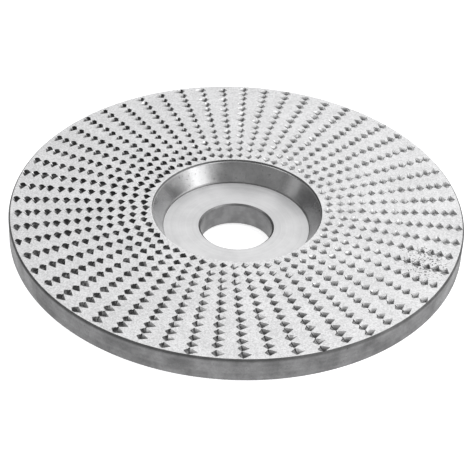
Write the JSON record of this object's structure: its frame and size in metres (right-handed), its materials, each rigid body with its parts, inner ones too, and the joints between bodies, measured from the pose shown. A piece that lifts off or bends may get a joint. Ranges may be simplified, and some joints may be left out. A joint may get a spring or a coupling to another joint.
{
  "type": "angle grinder carving disc",
  "caption": "Dished round steel carving disc for an angle grinder, with rows of small raised rasp teeth on its face and a plain spindle bore in a recessed hub.",
  "frame": {"origin": "middle of the hub's back face, on the axis of the spindle bore; the disc rests on this face", "axes": "+Z along the spindle bore, out of the cutting face; +X to the right and +Y away from the viewer when the cutting face is seen from above"},
  "size_m": [0.1, 0.1, 0.011],
  "materials": {
    "plated_steel": "bright plated steel: satin cutting face and hub floor, polished recess wall, matte turned rim",
    "tooth_steel": "bright plated steel, raised by chisel, with sharp shiny crests"
  },
  "bodies": {
    "root": {"disc_body": "plated_steel", "tooth_row_01": "tooth_steel", "tooth_row_02": "tooth_steel", "tooth_row_03": "tooth_steel", "tooth_row_04": "tooth_steel", "tooth_row_05": "tooth_steel", "tooth_row_06": "tooth_steel", "tooth_row_07": "tooth_steel", "tooth_row_08": "tooth_steel", "tooth_row_09": "tooth_steel", "tooth_row_10": "tooth_steel", "tooth_row_11": "tooth_steel", "tooth_row_12": "tooth_steel", "tooth_row_13": "tooth_steel", "tooth_row_14": "tooth_steel", "tooth_row_15": "tooth_steel", "tooth_row_16": "tooth_steel", "tooth_row_17": "tooth_steel", "tooth_row_18": "tooth_steel", "tooth_row_19": "tooth_steel", "tooth_row_20": "tooth_steel", "tooth_row_21": "tooth_steel", "tooth_row_22": "tooth_steel", "tooth_row_23": "tooth_steel", "tooth_row_24": "tooth_steel", "tooth_row_25": "tooth_steel", "tooth_row_26": "tooth_steel", "tooth_row_27": "tooth_steel", "tooth_row_28": "tooth_steel", "tooth_row_29": "tooth_steel", "tooth_row_30": "tooth_steel", "tooth_row_31": "tooth_steel", "tooth_row_32": "tooth_steel", "tooth_row_33": "tooth_steel", "tooth_row_34": "tooth_steel", "tooth_row_35": "tooth_steel", "tooth_row_36": "tooth_steel", "tooth_row_37": "tooth_steel", "tooth_row_38": "tooth_steel", "tooth_row_39": "tooth_steel", "tooth_row_40": "tooth_steel", "tooth_row_41": "tooth_steel", "tooth_row_42": "tooth_steel", "tooth_row_43": "tooth_steel", "tooth_row_44": "tooth_steel", "tooth_row_45": "tooth_steel", "tooth_row_46": "tooth_steel", "tooth_row_47": "tooth_steel", "tooth_row_48": "tooth_steel", "tooth_row_49": "tooth_steel", "tooth_row_50": "tooth_steel", "tooth_row_51": "tooth_steel", "tooth_row_52": "tooth_steel", "tooth_row_53": "tooth_steel", "tooth_row_54": "tooth_steel", "tooth_row_55": "tooth_steel", "tooth_row_56": "tooth_steel", "tooth_row_57": "tooth_steel", "tooth_row_58": "tooth_steel"}
  },
  "joints": []
}
